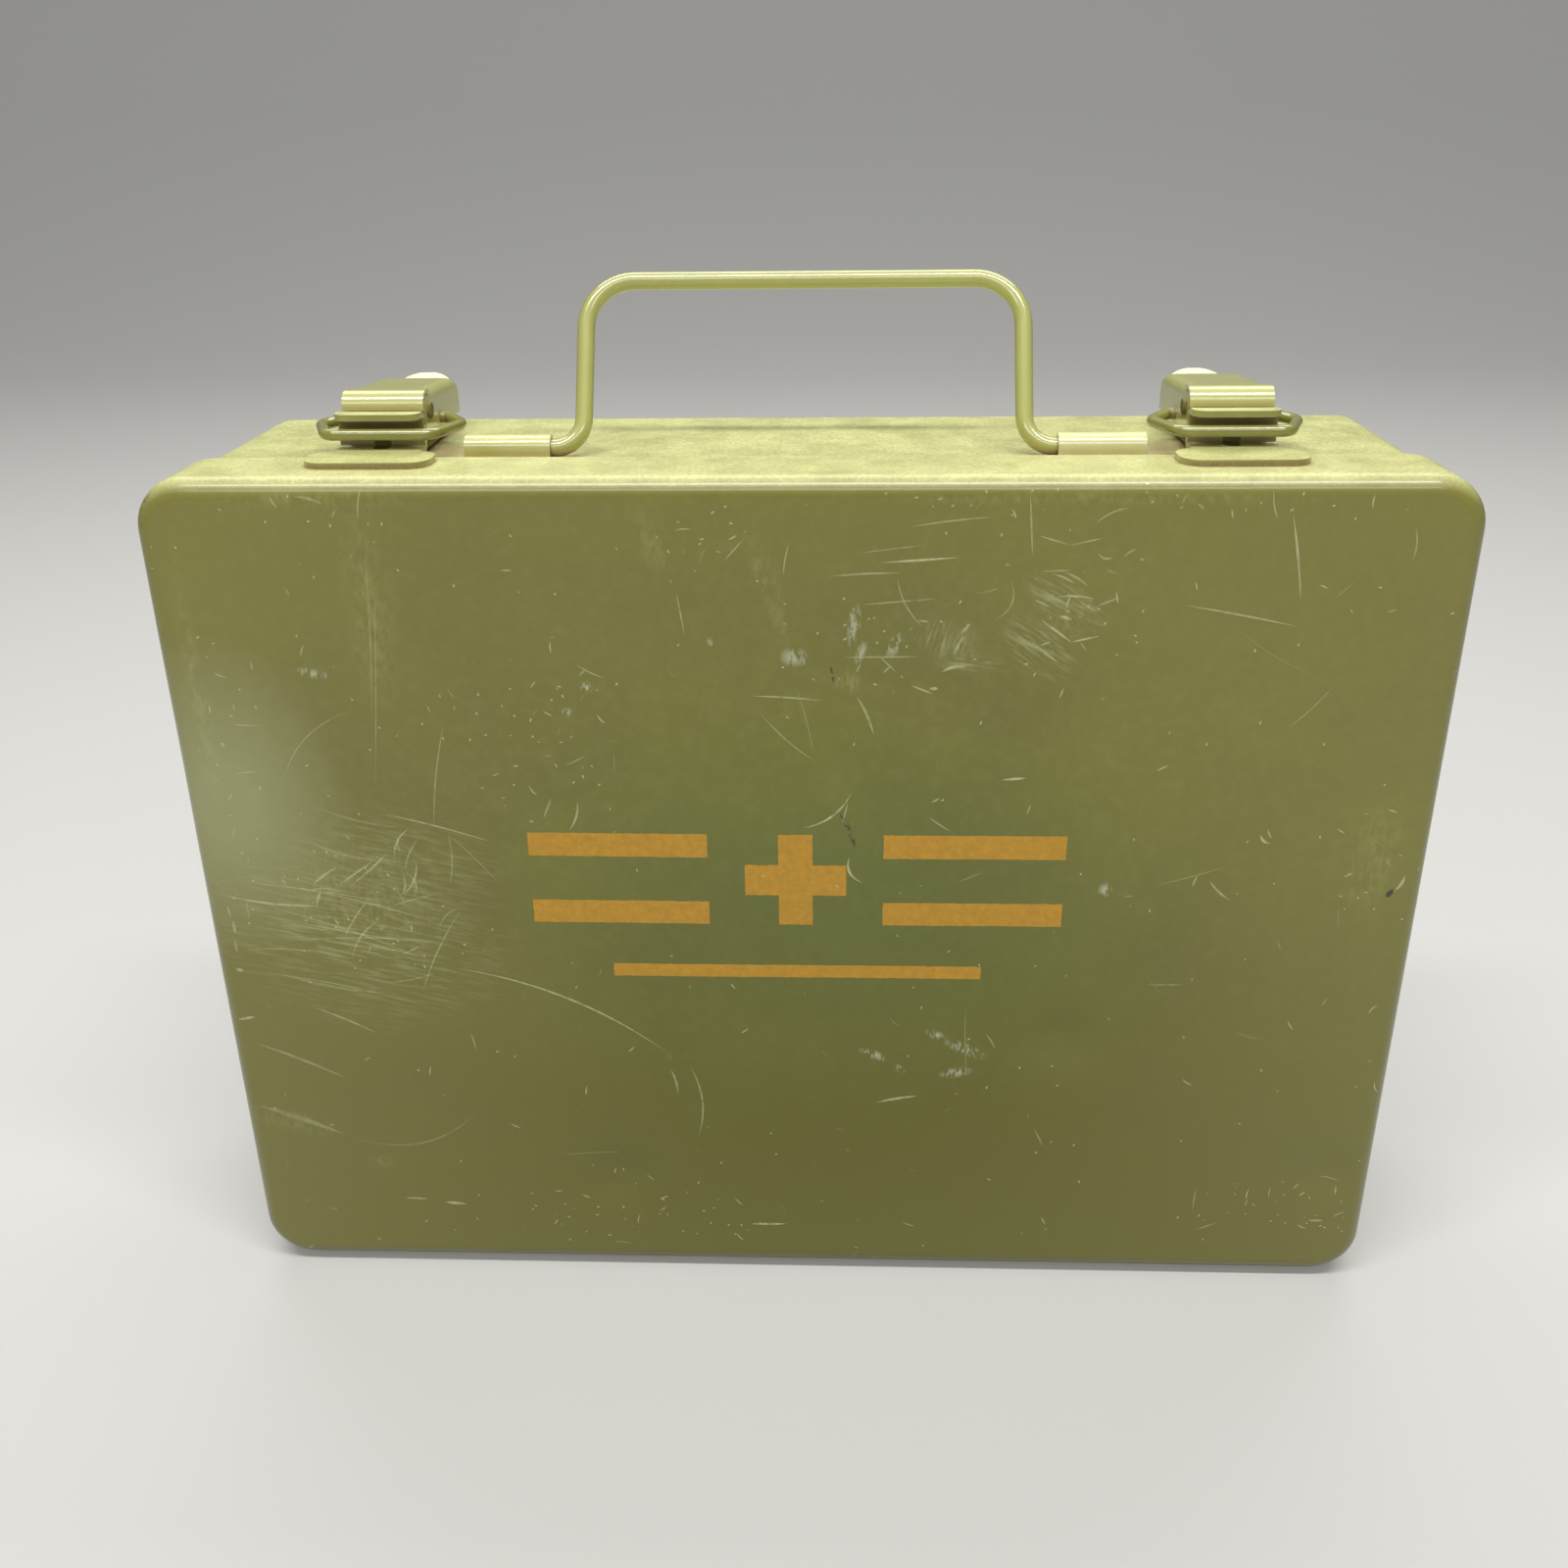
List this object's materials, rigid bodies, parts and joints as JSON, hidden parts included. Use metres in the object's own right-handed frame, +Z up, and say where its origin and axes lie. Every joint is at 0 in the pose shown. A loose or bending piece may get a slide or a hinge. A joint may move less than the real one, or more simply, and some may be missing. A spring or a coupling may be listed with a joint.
{
  "type": "first aid box",
  "caption": "Olive enamelled steel first aid box with a shallow bottom-hinged front lid, two draw latches on top and a folding wire handle.",
  "frame": {"origin": "on the floor, under the middle of the case in width and depth", "axes": "+Z up, the lid faces -Y, +X to the right of someone who looks at the lid"},
  "size_m": [0.2666, 0.0724, 0.23],
  "materials": {
    "case_enamel": "semi-gloss olive enamel, dusty and scratched",
    "fitting_enamel": "olive enamel, dust in the corners",
    "handle_enamel": "olive enamel, rubbed",
    "hinge_enamel": "olive enamel",
    "pin_steel": "plain steel wire",
    "gasket_rubber": "matt black rubber"
  },
  "bodies": {
    "body": {"body_shell": "case_enamel", "body_hinge_leaf": "hinge_enamel", "hinge_pin": "pin_steel", "handle_clip_left": "fitting_enamel", "handle_clip_right": "fitting_enamel", "latch_base_left": "fitting_enamel", "latch_rivets_left": "fitting_enamel", "lever_pin_left": "fitting_enamel", "latch_base_right": "fitting_enamel", "latch_rivets_right": "fitting_enamel", "lever_pin_right": "fitting_enamel"},
    "lid": {"lid_shell": "case_enamel", "lid_gasket": "gasket_rubber", "lid_hinge_leaf": "hinge_enamel", "keeper_left": "fitting_enamel", "keeper_right": "fitting_enamel"},
    "handle": {"handle": "handle_enamel"},
    "lever_left": {"latch_lever_left": "fitting_enamel"},
    "bail_left": {"latch_bail_left": "fitting_enamel"},
    "lever_right": {"latch_lever_right": "fitting_enamel"},
    "bail_right": {"latch_bail_right": "fitting_enamel"}
  },
  "joints": [
    {"name": "lid_hinge", "type": "hinge", "parent": "body", "child": "lid", "pos_m": [0, -0.01415, 0.00145], "axis": [1, 0, 0], "range_deg": [0, 180]},
    {"name": "handle_hinge", "type": "hinge", "parent": "body", "child": "handle", "pos_m": [0, -0.0102, 0.19675], "axis": [1, 0, 0], "range_deg": [-60, 105]},
    {"name": "lever_left_pivot", "type": "hinge", "parent": "body", "child": "lever_left", "pos_m": [-0.088, -0.00468, 0.2038], "axis": [1, 0, 0], "range_deg": [0, 100]},
    {"name": "bail_left_pivot", "type": "hinge", "parent": "lever_left", "child": "bail_left", "pos_m": [-0.088, 0.00432, 0.2006], "axis": [1, 0, 0], "range_deg": [-55, 0]},
    {"name": "lever_right_pivot", "type": "hinge", "parent": "body", "child": "lever_right", "pos_m": [0.088, -0.00468, 0.2038], "axis": [1, 0, 0], "range_deg": [0, 100]},
    {"name": "bail_right_pivot", "type": "hinge", "parent": "lever_right", "child": "bail_right", "pos_m": [0.088, 0.00432, 0.2006], "axis": [1, 0, 0], "range_deg": [-55, 0]}
  ],
  "couplings": [
    {"joint": "bail_left_pivot", "follows": "lever_left_pivot", "ratio": -0.55},
    {"joint": "bail_right_pivot", "follows": "lever_right_pivot", "ratio": -0.55}
  ]
}
